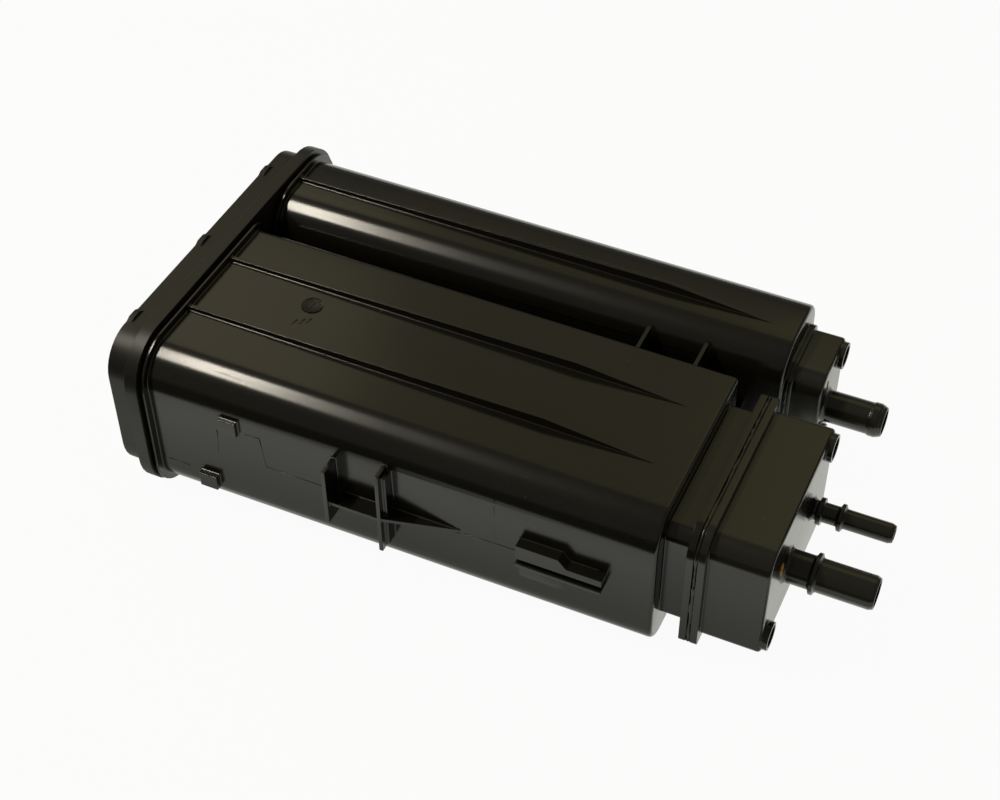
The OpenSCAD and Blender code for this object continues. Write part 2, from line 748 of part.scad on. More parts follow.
// A compression plate: a grid of square openings, with rings that hold the springs
module compression_plate(s, places) {
    inner = drawn_in(s, x_pad, wall + fit);
    w = inner[1] - inner[0];
    h = inner[3] - inner[2];
    ny = floor((w - 2 * mesh_edge) / mesh_pitch);
    nz = floor((h - 2 * mesh_edge) / mesh_pitch);
    y0 = (inner[0] + inner[1] - (ny - 1) * mesh_pitch) / 2;
    z0 = (inner[2] + inner[3] - (nz - 1) * mesh_pitch) / 2;
    seat_r = spring_d / 2 + mesh_w;
    corner_clear = mesh_edge / 2 + norm([mesh_w, mesh_w]) / 2;
    color(PLATE_NYLON) {
        difference() {
            slab(inner, plate_x, x_pad);
            for (i = [0:ny - 1], k = [0:nz - 1]) {
                y = y0 + i * mesh_pitch;
                z = z0 + k * mesh_pitch;
                clear = min([for (at = places) norm([y - at[0], z - at[1]])]);
                if (clear > seat_r && corner_room(inner, y, z) > corner_clear)
                    translate([plate_x - sink, y - mesh_w / 2, z - mesh_w / 2])
                        cube([plate_t + 2 * sink, mesh_w, mesh_w]);
            }
        }
        spring_rings(places, plate_x - plate_ring_h, plate_x + skin);
    }
}

module main_plate() {
    compression_plate(MAIN, [SPRING_NEAR, SPRING_FAR]);
}

module vent_plate() {
    compression_plate(VENT, [SPRING_VENT]);
}

// A coil spring along X: two flat end turns and a rising middle
wire_sides = 6;
turn_steps = 16;
flat_turns = 1;
flat_pitch = 1.1;
all_turns = spring_turns + 2 * flat_turns;
coil_x0 = x_spring_seat + wire_d / 2;
coil_rise = plate_x - x_spring_seat - wire_d;
flat_rise = wire_d * flat_turns * flat_pitch;

function coil_height(t) =
    t < flat_turns ? t * flat_rise / flat_turns :
    t > all_turns - flat_turns ? coil_rise - (all_turns - t) * flat_rise / flat_turns :
    flat_rise + (t - flat_turns) * (coil_rise - 2 * flat_rise) / spring_turns;

function coil_ring(t) = [for (k = [0:wire_sides - 1])
    let (a = 360 * t, b = 360 * k / wire_sides, r = spring_d / 2 + wire_d / 2 * cos(b))
    [coil_x0 + coil_height(t) + wire_d / 2 * sin(b), r * cos(a), r * sin(a)]];

module coil_spring(at) {
    rings = all_turns * turn_steps;
    points = [for (i = [0:rings]) each coil_ring(i / turn_steps)];
    n = wire_sides;
    sides = [for (i = [0:rings - 1], k = [0:n - 1])
        [i * n + k, i * n + (k + 1) % n, (i + 1) * n + (k + 1) % n, (i + 1) * n + k]];
    first = [for (k = [n - 1:-1:0]) k];
    last = [for (k = [0:n - 1]) rings * n + k];
    color(SPRING_STEEL) translate([0, at[0], at[1]])
        polyhedron(points, concat(sides, [first, last]));
}

module main_spring_near() {
    coil_spring(SPRING_NEAR);
}

module main_spring_far() {
    coil_spring(SPRING_FAR);
}

module vent_spring() {
    coil_spring(SPRING_VENT);
}

at_origin() housing();
at_origin() bottom_cover();
at_origin() port_cap();
at_origin() vent_cap();
at_origin() main_carbon_bed();
at_origin() vent_carbon_bed();
at_origin() tank_port_pad();
at_origin() purge_port_pad();
at_origin() main_spring_pad();
at_origin() vent_port_pad();
at_origin() vent_spring_pad();
at_origin() main_plate();
at_origin() vent_plate();
at_origin() main_spring_near();
at_origin() main_spring_far();
at_origin() vent_spring();
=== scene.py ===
# %% [markdown]
# # A charcoal canister, dressed for its portrait
# A charcoal canister catches petrol vapour from a car's tank and gives it back to the engine.
# Its shells are black glass-filled nylon, moulded in four pieces and welded together with hot plates.
# The solid model already has the true sizes. This lesson gives it moulded edges, weld beads,
# mould marks and finishes, and photographs it in a white studio.

# %% Load the solid model as a fixed frame
import json
import math

import bpy
from mathutils import Matrix, Quaternion, Vector

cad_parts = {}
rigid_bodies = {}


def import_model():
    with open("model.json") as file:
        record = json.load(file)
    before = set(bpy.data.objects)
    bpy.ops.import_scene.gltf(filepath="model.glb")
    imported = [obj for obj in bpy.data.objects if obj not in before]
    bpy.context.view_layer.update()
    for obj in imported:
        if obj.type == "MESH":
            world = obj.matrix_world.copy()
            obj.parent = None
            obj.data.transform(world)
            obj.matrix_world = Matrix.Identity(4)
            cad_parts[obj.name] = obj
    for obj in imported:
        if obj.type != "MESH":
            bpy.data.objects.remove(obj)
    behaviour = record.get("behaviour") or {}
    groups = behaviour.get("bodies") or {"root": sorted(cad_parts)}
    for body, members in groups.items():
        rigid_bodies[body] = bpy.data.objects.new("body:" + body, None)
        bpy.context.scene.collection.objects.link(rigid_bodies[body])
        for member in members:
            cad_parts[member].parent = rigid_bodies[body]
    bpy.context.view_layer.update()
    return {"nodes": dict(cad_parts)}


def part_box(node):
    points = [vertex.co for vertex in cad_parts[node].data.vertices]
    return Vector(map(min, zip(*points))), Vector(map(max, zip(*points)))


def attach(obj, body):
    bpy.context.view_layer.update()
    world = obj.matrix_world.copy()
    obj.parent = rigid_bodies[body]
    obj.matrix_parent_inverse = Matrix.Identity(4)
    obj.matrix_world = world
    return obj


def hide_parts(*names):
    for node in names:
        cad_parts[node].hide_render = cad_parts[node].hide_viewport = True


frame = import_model()
MM = 0.001
print("nodes:", len(frame["nodes"]))

# %% [markdown]
# ## Clean copies of the moulded shells
# A moulded part has no knife edge: every outer corner has a small radius and every inner corner a fillet.
# The solid's mesh is loose triangles, so a copy is merged into one surface, its flats are joined and cut
# into even triangles again, because a bevel can fold a flat that has holes in it.
# A Bevel modifier then rounds all sharp edges at once. Bevelling by hand, edge by edge, would give the
# same result with much more work. Each edge carries a weight that scales its rounding: an inner corner
# gets a full fillet, and an outer one, where the mould's blocks meet, stays much crisper.

# %% Helpers for selecting and finishing
def select_only(piece):
    bpy.ops.object.select_all(action="DESELECT")
    piece.select_set(True)
    bpy.context.view_layer.objects.active = piece


def apply_modifiers(piece):
    select_only(piece)
    for modifier in list(piece.modifiers):
        bpy.ops.object.modifier_apply(modifier=modifier.name)


def finish_piece(piece, smooth_angle=40):
    select_only(piece)
    bpy.ops.object.transform_apply(location=True, rotation=True, scale=True)
    bpy.ops.object.shade_smooth_by_angle(angle=math.radians(smooth_angle))
    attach(piece, "root")
    return piece


def edit_select(piece, kind, wanted):
    select_only(piece)
    bpy.ops.object.mode_set(mode="EDIT")
    bpy.ops.mesh.select_mode(type=kind)
    bpy.ops.mesh.select_all(action="DESELECT")
    bpy.ops.object.mode_set(mode="OBJECT")
    mesh = piece.data
    parts = {"VERT": mesh.vertices, "EDGE": mesh.edges, "FACE": mesh.polygons}[kind]
    for part in parts:
        part.select = wanted(part)
    bpy.ops.object.mode_set(mode="EDIT")


# %% [markdown]
# ## Long ribs
# Three ribs stiffen the flat tops. In the photograph each one climbs slowly, is highest some way past the
# middle and then drops to a tip. The solid's ribs are lower and a little nearer to the camera. New ribs could
# be laid over them, but a rib has corners only at its start, its crest and its tip, so it is enough to pick
# the corners by place and move them: the straight lines between them follow.

# %% Ribs drawn up to the photograph
FLAT_Z = 87.2
FLAT_MIDDLE_X = -35.2
FLAT_SLOPE = 0.0096
RIB_START_X = -161.35
RIB_CREST_X = -29.95
RIB_REACH = 1.3 * MM
START_RISE = (0.0, 0.0, 0.65)
START_TOP, START_FOOT, CREST_TOP = 0.6, -0.3, 1.5
# Each row has a rib's place across the part, the step of its start and the step of its crest, in mm
LONG_RIBS = (
    (-48.8, (0.0, 1.5, 0.0), (53.95, 0.34, 1.28)),
    (-9.5, (0.0, 1.5, 0.0), (53.95, 0.34, 1.28)),
    (60.3, (0.0, 2.2, 0.0), (71.95, 0.46, 1.01)),
)


def flat_height(x):
    return (FLAT_Z - (x / MM - FLAT_MIDDLE_X) * FLAT_SLOPE) * MM


def move_rib_corners(shell, x, y, lowest, step):
    def wanted(vertex):
        place = shell.matrix_world @ vertex.co
        return (abs(place.x - x * MM) < RIB_REACH and abs(place.y - y * MM) < RIB_REACH
                and place.z > flat_height(place.x) + lowest * MM)

    edit_select(shell, "VERT", wanted)
    bpy.ops.transform.translate(value=Vector(step) * MM)
    bpy.ops.object.mode_set(mode="OBJECT")
    print("rib corners moved:", sum(vertex.select for vertex in shell.data.vertices))


def draw_up_ribs(shell):
    for y, start_step, crest_step in LONG_RIBS:
        move_rib_corners(shell, RIB_START_X, y, START_TOP, START_RISE)
        move_rib_corners(shell, RIB_START_X, y, START_FOOT, start_step)
        move_rib_corners(shell, RIB_CREST_X, y, CREST_TOP, crest_step)


# %% Rounded copies of the four welded shells
MERGE = 0.03 * MM
FLAT_ANGLE = math.radians(0.6)
EDGE_ANGLE = math.radians(32)
INNER_RISE = 0.01 * MM
CRISP = 0.3


def weigh_edges(piece):
    mesh = piece.data
    faces_of = {}
    for face in mesh.polygons:
        for key in face.edge_keys:
            faces_of.setdefault(key, []).append(face)
    weights = mesh.attributes.new("bevel_weight_edge", "FLOAT", "EDGE")
    for edge in mesh.edges:
        pair = faces_of.get(edge.key, [])
        if len(pair) != 2 or pair[0].normal.angle(pair[1].normal, 0.0) < EDGE_ANGLE:
            continue
        on_edge = mesh.vertices[edge.vertices[0]].co
        rises = [(mesh.vertices[i].co - on_edge).dot(pair[0].normal) for i in pair[1].vertices]
        weights.data[edge.index].value = 1.0 if max(rises) > INNER_RISE else CRISP


def rounded_shell(node, name, edge_r, redraw=None):
    select_only(frame["nodes"][node])
    bpy.ops.object.duplicate()
    shell = bpy.context.active_object
    shell.name = name
    bpy.ops.object.parent_clear(type="CLEAR_KEEP_TRANSFORM")
    bpy.ops.object.mode_set(mode="EDIT")
    bpy.ops.mesh.select_all(action="SELECT")
    bpy.ops.mesh.remove_doubles(threshold=MERGE)
    bpy.ops.mesh.dissolve_limited(angle_limit=FLAT_ANGLE)
    bpy.ops.object.mode_set(mode="OBJECT")
    if redraw:
        redraw(shell)
    edit_select(shell, "FACE", lambda face: True)
    bpy.ops.mesh.quads_convert_to_tris(quad_method="BEAUTY", ngon_method="BEAUTY")
    bpy.ops.object.mode_set(mode="OBJECT")
    bevel = shell.modifiers.new("moulded edge", "BEVEL")
    bevel.width = edge_r
    bevel.segments = 3
    bevel.limit_method = "WEIGHT"
    bevel.use_clamp_overlap = False
    bevel.loop_slide = False
    weigh_edges(shell)
    apply_modifiers(shell)
    finish_piece(shell)
    even = shell.modifiers.new("even shading", "WEIGHTED_NORMAL")
    even.keep_sharp = True
    even.mode = "FACE_AREA_WITH_ANGLE"
    apply_modifiers(shell)
    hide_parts(node)
    print(name, len(shell.data.polygons), "faces")
    return shell


housing = rounded_shell("housing", "housing_shell", 0.65 * MM, draw_up_ribs)
cover = rounded_shell("bottom_cover", "bottom_cover_shell", 0.9 * MM)
port_cap = rounded_shell("port_cap", "port_cap_shell", 0.6 * MM)
vent_cap = rounded_shell("vent_cap", "vent_cap_shell", 0.6 * MM)

# %% [markdown]
# ## Weld beads
# Hot-plate welding melts both faces of a joint and presses them together, and a little nylon squeezes
# out as a ragged bead all round the seam. A bead could be sculpted, but a loop with rounded corners is
# quicker: it becomes a curve with a round profile, then a mesh, and a noise pushes its skin about.

# %% The length of an edge
def edge_length(mesh, edge):
    first, second = (mesh.vertices[i].co for i in edge.vertices)
    return (first - second).length


# %% A ragged bead round a seam
LONG_EDGE = 8 * MM
LONG_EDGE_CUTS = 60
CORNER_STEPS = 9
SQUEEZE_SIZE = 5 * MM
SOFT_ANGLE = 80


def weld_bead(name, x, low, high, radii, thickness, rag):
    bpy.ops.object.select_all(action="DESELECT")
    middle = (x, (low[0] + high[0]) / 2, (low[1] + high[1]) / 2)
    bpy.ops.mesh.primitive_plane_add(size=1.0, location=middle, rotation=(math.pi / 2, 0.0, math.pi / 2))
    bead = bpy.context.active_object
    bead.name = name
    bead.scale = (high[0] - low[0], high[1] - low[1], 1.0)
    bpy.ops.object.transform_apply(location=True, rotation=True, scale=True)
    corners = ((low[0], low[1]), (high[0], low[1]), (high[0], high[1]), (low[0], high[1]))
    for (y, z), radius in zip(corners, radii):
        place = Vector((x, y, z))
        edit_select(bead, "VERT", lambda v: (v.co - place).length < 0.5 * MM)
        bpy.ops.mesh.bevel(offset=radius, segments=CORNER_STEPS, affect="VERTICES")
        bpy.ops.object.mode_set(mode="OBJECT")
    edit_select(bead, "FACE", lambda f: True)
    bpy.ops.mesh.delete(type="ONLY_FACE")
    bpy.ops.object.mode_set(mode="OBJECT")
    edit_select(bead, "EDGE", lambda e: edge_length(bead.data, e) > LONG_EDGE)
    bpy.ops.mesh.subdivide(number_cuts=LONG_EDGE_CUTS)
    bpy.ops.object.mode_set(mode="OBJECT")
    bpy.ops.object.convert(target="CURVE")
    bead = bpy.context.active_object
    bead.data.bevel_depth = thickness
    bead.data.bevel_resolution = 2
    bpy.ops.object.convert(target="MESH")
    bead = bpy.context.active_object
    squeeze = bpy.data.textures.new(name, "CLOUDS")
    squeeze.noise_scale = SQUEEZE_SIZE
    push = bead.modifiers.new("squeezed out", "DISPLACE")
    push.texture = squeeze
    push.texture_coords = "GLOBAL"
    push.strength = rag
    apply_modifiers(bead)
    finish_piece(bead, SOFT_ANGLE)
    print(name, len(bead.data.polygons), "faces")
    return bead


# %% The three welded seams
SEAM_X = -170.45 * MM
CAP_SEAM_X = 109.95 * MM
VENT_SEAM_X = 110.75 * MM
LUG_HEIGHT = 1.3 * MM
COVER_CORNERS = (21.3 * MM, 21.3 * MM, 18.0 * MM, 18.5 * MM)
CAP_CORNERS = (1.0 * MM, 1.0 * MM, 1.0 * MM, 12.2 * MM)
VENT_CORNERS = (5.9 * MM, 5.9 * MM, 5.9 * MM, 11.9 * MM)


def seam_corners(node, inset, top_trim=0.0):
    low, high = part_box(node)
    return (low[1] + inset, low[2] + inset), (high[1] - inset, high[2] - inset - top_trim)


low, high = seam_corners("bottom_cover", 0.7 * MM, LUG_HEIGHT)
cover_bead = weld_bead("cover_weld_bead", SEAM_X - 0.4 * MM, low, high,
                       COVER_CORNERS, 0.8 * MM, 0.9 * MM)
low, high = seam_corners("port_cap", 1.1 * MM)
cap_bead = weld_bead("port_cap_weld_bead", CAP_SEAM_X, low, high,
                     CAP_CORNERS, 1.0 * MM, 1.6 * MM)
low, high = seam_corners("vent_cap", 0.3 * MM)
vent_bead = weld_bead("vent_cap_weld_bead", VENT_SEAM_X, low, high,
                      VENT_CORNERS, 0.45 * MM, 0.5 * MM)

# %% [markdown]
# ## Mould marks on the walls
# The near wall was shaped by sliding blocks of the mould, and where two blocks met, a thread of nylon
# stands proud. The threads run between the brackets, so a straight bar is modelled once, with rounded
# edges, and copied from point to point. The wall leans by its draft angle: each end is found by a ray.

# %% Points on the walls
def touch(piece, start, direction):
    bpy.context.view_layer.update()
    found, place, _, _ = piece.ray_cast(Vector(start), Vector(direction))
    assert found, "nothing under this point"
    return place


def near_wall(x, z):
    return touch(housing, (x * MM, -0.3, z * MM), (0.0, 1.0, 0.0))


def top_wall(x, y):
    return touch(housing, (x * MM, y * MM, 0.3), (0.0, 0.0, -1.0))


# %% A thread of nylon along a mould joint
def thread(first, second, outward, width, height):
    along = second - first
    ahead = along.normalized()
    side = ahead.cross(Vector(outward)).normalized()
    proud = side.cross(ahead)
    bpy.ops.object.select_all(action="DESELECT")
    bpy.ops.mesh.primitive_cube_add(size=1.0, location=(first + second) / 2)
    bar = bpy.context.active_object
    bar.scale = (along.length + width, 2 * height, width)
    bar.rotation_mode = "QUATERNION"
    bar.rotation_quaternion = Matrix((ahead, proud, ahead.cross(proud))).transposed().to_quaternion()
    bpy.ops.object.transform_apply(location=True, rotation=True, scale=True)
    soft = bar.modifiers.new("soft edges", "BEVEL")
    soft.width = 0.4 * height
    soft.segments = 2
    apply_modifiers(bar)
    return bar


def join_as(name, bars):
    bpy.ops.object.select_all(action="DESELECT")
    for bar in bars:
        bar.select_set(True)
    bpy.context.view_layer.objects.active = bars[0]
    bpy.ops.object.join()
    made = bpy.context.active_object
    made.name = name
    finish_piece(made)
    print(name, len(bars), "bars")
    return made


# %% The mould joints on the near wall
MOULD_JOINTS = (
    ((-156.5, 25.9), (-145.5, 25.6)),
    ((-127.2, 41.5), (-125.8, 57.5)),
    ((-110.3, 60.9), (-102.7, 61.2)),
    ((-102.7, 61.2), (-101.1, 43.0)),
    ((-101.1, 43.0), (-68.0, 42.6)),
    ((2.0, 42.6), (29.0, 42.9)),
    ((16.5, 43.0), (16.9, 72.0)),
)
JOINT_WIDTH = 0.5 * MM
JOINT_HEIGHT = 0.17 * MM
joint_bars = [thread(near_wall(*first), near_wall(*second), (0.0, -1.0, 0.0), JOINT_WIDTH, JOINT_HEIGHT)
              for first, second in MOULD_JOINTS]
mould_joints = join_as("near_wall_mould_joints", joint_bars)

# %% [markdown]
# ## The date dial
# A small turning insert in the mould leaves a round dial on the top wall: a raised rim, a sunk disc with
# a pointer, and ticks for the months. A cylinder gives the rim by an inset, and one tick is modelled and
# turned round the middle. Three plain bars beside it are ejector marks.

# %% Rim and ticks of the dial
DIAL = (-108.85, -21.3)
DIAL_R = 5.4 * MM
DIAL_DISC_R = 4.5 * MM
DIAL_RIM = 0.75 * MM
DIAL_SUNK = 0.42 * MM
TICK_FROM = 3.0 * MM
TICK_LENGTH = 1.0 * MM
DIAL_BAR_HEIGHT = 0.25 * MM
UP = (0.0, 0.0, 1.0)
dial_middle = top_wall(*DIAL)
bpy.ops.object.select_all(action="DESELECT")
bpy.ops.mesh.primitive_cylinder_add(vertices=64, radius=DIAL_R, depth=1.0 * MM, location=dial_middle)
dial = bpy.context.active_object
bpy.ops.object.transform_apply(location=True, rotation=True, scale=True)
edit_select(dial, "FACE", lambda f: f.normal.z > 0.9)
bpy.ops.mesh.inset(thickness=DIAL_RIM)
bpy.ops.transform.translate(value=(0.0, 0.0, -DIAL_SUNK))
bpy.ops.object.mode_set(mode="OBJECT")
rim = dial.modifiers.new("worn rim", "BEVEL")
rim.width = 0.16 * MM
rim.segments = 2
apply_modifiers(dial)
dial_bars = [dial]
for month in range(12):
    turn = math.radians(30 * month)
    ray = Vector((math.cos(turn), math.sin(turn), 0.0))
    start = dial_middle + ray * TICK_FROM
    dial_bars.append(thread(start, start + ray * TICK_LENGTH, UP, 0.45 * MM, DIAL_BAR_HEIGHT))
pointer = Vector((0.35, 0.94, 0.0)) * 1.9 * MM
dial_bars.append(thread(dial_middle - pointer, dial_middle + pointer, UP, 0.8 * MM, DIAL_BAR_HEIGHT))
dial = join_as("date_dial", dial_bars)

# %% The ejector marks
MARK_STARTS = ((-111.5, -36.5), (-108.4, -34.6), (-105.6, -32.9))
MARK_RUN = (0.9, 3.0)
mark_bars = []
for x, y in MARK_STARTS:
    mark_end = top_wall(x + MARK_RUN[0], y + MARK_RUN[1])
    mark_bars.append(thread(top_wall(x, y), mark_end, UP, 1.0 * MM, 0.16 * MM))
marks = join_as("ejector_marks", mark_bars)

# %% [markdown]
# ## The panel under the hook
# A thin raised panel backs the slot of the hook pad and stiffens its lip. It is a flat bar whose right
# end is rounded by a vertex bevel before it gets its thickness, as a paper pattern would be cut. A lip
# made the same way reaches as far out as the pad, so the slot between them shows as a dark slit.

# %% A thin raised panel
PANEL_ROOT = 0.5 * MM
PANEL_STEPS = 6


def wall_panel(name, x_span, z_span, radii, height):
    bpy.ops.object.select_all(action="DESELECT")
    wall_y = near_wall(sum(x_span) / 2, sum(z_span) / 2).y
    bpy.ops.mesh.primitive_plane_add(size=1.0, rotation=(math.pi / 2, 0.0, 0.0),
                                     location=(sum(x_span) / 2 * MM, wall_y - height, sum(z_span) / 2 * MM))
    panel = bpy.context.active_object
    panel.name = name
    panel.scale = ((x_span[1] - x_span[0]) * MM, (z_span[1] - z_span[0]) * MM, 1.0)
    bpy.ops.object.transform_apply(location=True, rotation=True, scale=True)
    (left, right), (low, high) = x_span, z_span
    corners = ((left, low), (right, low), (right, high), (left, high))
    for (x, z), radius in zip(corners, radii):
        place = Vector((x * MM, wall_y - height, z * MM))
        edit_select(panel, "VERT", lambda v: (v.co - place).length < 0.2 * MM)
        bpy.ops.mesh.bevel(offset=radius * MM, segments=PANEL_STEPS, affect="VERTICES")
        bpy.ops.object.mode_set(mode="OBJECT")
    edit_select(panel, "FACE", lambda f: True)
    bpy.ops.mesh.extrude_region_move(TRANSFORM_OT_translate={"value": (0.0, height + PANEL_ROOT, 0.0)})
    bpy.ops.mesh.select_all(action="SELECT")
    bpy.ops.mesh.normals_make_consistent(inside=False)
    bpy.ops.object.mode_set(mode="OBJECT")
    soft = panel.modifiers.new("soft edges", "BEVEL")
    soft.width = 0.25 * MM
    soft.segments = 2
    soft.limit_method = "ANGLE"
    apply_modifiers(panel)
    finish_piece(panel)
    print(name, len(panel.data.polygons), "faces")
    return panel


hook_panel = wall_panel("hook_back_panel", (28.9, 52.0), (27.0, 40.5),
                        (2.0, 5.0, 1.0, 0.6), 0.5 * MM)
hook_lip = wall_panel("hook_slot_lip", (29.55, 71.05), (40.3, 42.2),
                      (0.4, 0.4, 0.4, 0.4), 3.0 * MM)

# %% [markdown]
# ## Inspection paint
# At the end of the line an inspector touches each joint that passed with a dab of orange paint. A dab is a
# sphere pressed flat against the cap, and a noise makes its rim uneven, so that no two look alike.

# %% Dabs beside the ports
def paint_dab(name, place, across, thickness):
    bpy.ops.object.select_all(action="DESELECT")
    bpy.ops.mesh.primitive_uv_sphere_add(segments=24, ring_count=12, radius=1.0, location=place)
    dab = bpy.context.active_object
    dab.name = name
    dab.scale = (thickness, across[0], across[1])
    bpy.ops.object.transform_apply(location=True, rotation=True, scale=True)
    smear = bpy.data.textures.new(name, "CLOUDS")
    smear.noise_scale = 2 * MM
    push = dab.modifiers.new("uneven rim", "DISPLACE")
    push.texture = smear
    push.texture_coords = "GLOBAL"
    push.strength = 0.35 * MM
    apply_modifiers(dab)
    return finish_piece(dab, SOFT_ANGLE)


def end_face(piece, y, z):
    return touch(piece, (0.3, y * MM, z * MM), (-1.0, 0.0, 0.0))


tank_dab = paint_dab("tank_port_dab", end_face(port_cap, -59.6, 56.5), (2.0 * MM, 4.4 * MM), 0.55 * MM)
vent_dab = paint_dab("vent_port_dab", end_face(vent_cap, 52.6, 63.4), (1.5 * MM, 3.0 * MM), 0.45 * MM)
print("dabs:", tank_dab.name, vent_dab.name)

# %% [markdown]
# ## What the shells hold
# Inside are beds of carbon pellets, foam pads that keep the dust in, slotted plates and the springs that
# press on them. Foam pads are cut from sheet and squeezed, so their rims bulge softly: each is a copy of
# its solid with a wide rounding. Plates get moulded edges, and the springs' wire is shaded smooth.

# %% Soft copies of the foam pads
PADS = ("tank_port_pad", "purge_port_pad", "main_spring_pad", "vent_port_pad", "vent_spring_pad")
SPRINGS = ("main_spring_near", "main_spring_far", "vent_spring")
PLATES = ("main_plate", "vent_plate")
BEDS = ("main_carbon_bed", "vent_carbon_bed")
pads = [rounded_shell(node, node + "_foam", 4.0 * MM) for node in PADS]
plates = [rounded_shell(node, node + "_moulded", 0.25 * MM) for node in PLATES]


# %% Smooth copies of the springs
def smooth_spring(node):
    select_only(frame["nodes"][node])
    bpy.ops.object.duplicate()
    spring = bpy.context.active_object
    spring.name = node + "_wire"
    bpy.ops.object.parent_clear(type="CLEAR_KEEP_TRANSFORM")
    bpy.ops.object.mode_set(mode="EDIT")
    bpy.ops.mesh.select_all(action="SELECT")
    bpy.ops.mesh.remove_doubles(threshold=MERGE)
    bpy.ops.object.mode_set(mode="OBJECT")
    finish_piece(spring, 60)
    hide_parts(node)
    return spring


springs = [smooth_spring(node) for node in SPRINGS]
print("pads", len(pads), "plates", len(plates), "springs", len(springs))

# %% [markdown]
# ## Black nylon
# Glass-filled nylon is dark grey-black with a satin skin. Fine grain from the mould breaks up its
# reflections, and faint flow marks and handling scuffs change its gloss from place to place.
# Both shell finishes share these effects, so they are node groups with their own inputs. The flange and
# the cover came from a blasted block of the mould, so the shell is rougher from there to its left end.

# %% Helpers for node trees
def new_group(name, inputs, outputs):
    group = bpy.data.node_groups.new(name, "ShaderNodeTree")
    for label, default in inputs:
        socket = group.interface.new_socket(label, in_out="INPUT", socket_type="NodeSocketFloat")
        socket.default_value = default
    for label in outputs:
        group.interface.new_socket(label, in_out="OUTPUT", socket_type="NodeSocketFloat")
    entry = group.nodes.new("NodeGroupInput")
    leave = group.nodes.new("NodeGroupOutput")
    return group, entry, leave


def add(tree, kind, **settings):
    made = tree.nodes.new(kind)
    for key, value in settings.items():
        if key in made.inputs:
            made.inputs[key].default_value = value
        else:
            setattr(made, key, value)
    return made


def spread(tree, source, low, high, out_low, out_high):
    ramp = add(tree, "ShaderNodeMapRange")
    for label, value in (("From Min", low), ("From Max", high), ("To Min", out_low), ("To Max", out_high)):
        ramp.inputs[label].default_value = value
    tree.links.new(source, ramp.inputs["Value"])
    return ramp.outputs["Result"]


# %% Node group: the grain of a mould
def mould_grain_group():
    inputs = [("Scale", 1800.0), ("Flow", 9.0)]
    group, entry, leave = new_group("mould grain", inputs, ["Height", "Flow Marks"])
    place = add(group, "ShaderNodeTexCoord")
    grain = add(group, "ShaderNodeTexNoise", Detail=3.0, Roughness=0.6)
    flow = add(group, "ShaderNodeTexNoise", Detail=4.0, Roughness=0.55, Distortion=0.6)
    stretch = add(group, "ShaderNodeMapping")
    stretch.inputs["Scale"].default_value = (0.35, 1.0, 1.0)
    links = group.links
    links.new(place.outputs["Object"], grain.inputs["Vector"])
    links.new(entry.outputs["Scale"], grain.inputs["Scale"])
    links.new(place.outputs["Object"], stretch.inputs["Vector"])
    links.new(stretch.outputs["Vector"], flow.inputs["Vector"])
    links.new(entry.outputs["Flow"], flow.inputs["Scale"])
    links.new(grain.outputs["Fac"], leave.inputs["Height"])
    links.new(flow.outputs["Fac"], leave.inputs["Flow Marks"])
    return group


# %% Node group: scuffs and dust from handling
def handling_group():
    group, entry, leave = new_group("handling", [("Dust", 0.5), ("Scuffs", 0.5)], ["Dust Mask", "Scuff Mask"])
    place = add(group, "ShaderNodeTexCoord")
    specks = add(group, "ShaderNodeTexNoise", Scale=420.0, Detail=2.0)
    patches = add(group, "ShaderNodeTexNoise", Scale=14.0, Detail=2.0)
    scratch_place = add(group, "ShaderNodeMapping")
    scratch_place.inputs["Scale"].default_value = (60.0, 900.0, 900.0)
    scratch_place.inputs["Rotation"].default_value = (0.0, 0.0, math.radians(17))
    scratches = add(group, "ShaderNodeTexNoise", Scale=1.0, Detail=2.0)
    links = group.links
    for texture in (specks, patches):
        links.new(place.outputs["Object"], texture.inputs["Vector"])
    links.new(place.outputs["Object"], scratch_place.inputs["Vector"])
    links.new(scratch_place.outputs["Vector"], scratches.inputs["Vector"])
    dust = spread(group, specks.outputs["Fac"], 0.68, 0.78, 0.0, 1.0)
    worn = spread(group, scratches.outputs["Fac"], 0.66, 0.76, 0.0, 1.0)
    patch = spread(group, patches.outputs["Fac"], 0.5, 0.65, 0.0, 1.0)
    for mask, amount, target in ((dust, "Dust", "Dust Mask"), (worn, "Scuffs", "Scuff Mask")):
        local = add(group, "ShaderNodeMath", operation="MULTIPLY")
        scaled = add(group, "ShaderNodeMath", operation="MULTIPLY")
        links.new(mask, local.inputs[0])
        links.new(patch, local.inputs[1])
        links.new(local.outputs[0], scaled.inputs[0])
        links.new(entry.outputs[amount], scaled.inputs[1])
        links.new(scaled.outputs[0], leave.inputs[target])
    return group


MOULD_GRAIN = mould_grain_group()
HANDLING = handling_group()


# %% A moulded nylon
def mix_colour(tree, factor, colour_a, colour_b):
    mix = add(tree, "ShaderNodeMix", data_type="RGBA")
    tree.links.new(factor, mix.inputs["Factor"])
    for label, colour in (("A", colour_a), ("B", colour_b)):
        socket = [s for s in mix.inputs if s.name == label and s.type == "RGBA"][0]
        if isinstance(colour, bpy.types.NodeSocket):
            tree.links.new(colour, socket)
        else:
            socket.default_value = (*colour, 1.0)
    return [s for s in mix.outputs if s.type == "RGBA"][0]


def add_values(tree, first, second):
    total = add(tree, "ShaderNodeMath", operation="ADD")
    tree.links.new(first, total.inputs[0])
    tree.links.new(second, total.inputs[1])
    return total.outputs[0]


COARSE_FROM = -163.4 * MM
COARSE_BLEND = 0.8 * MM
NYLON_IOR = 1.53
DUST_COLOUR = (0.10, 0.095, 0.085)


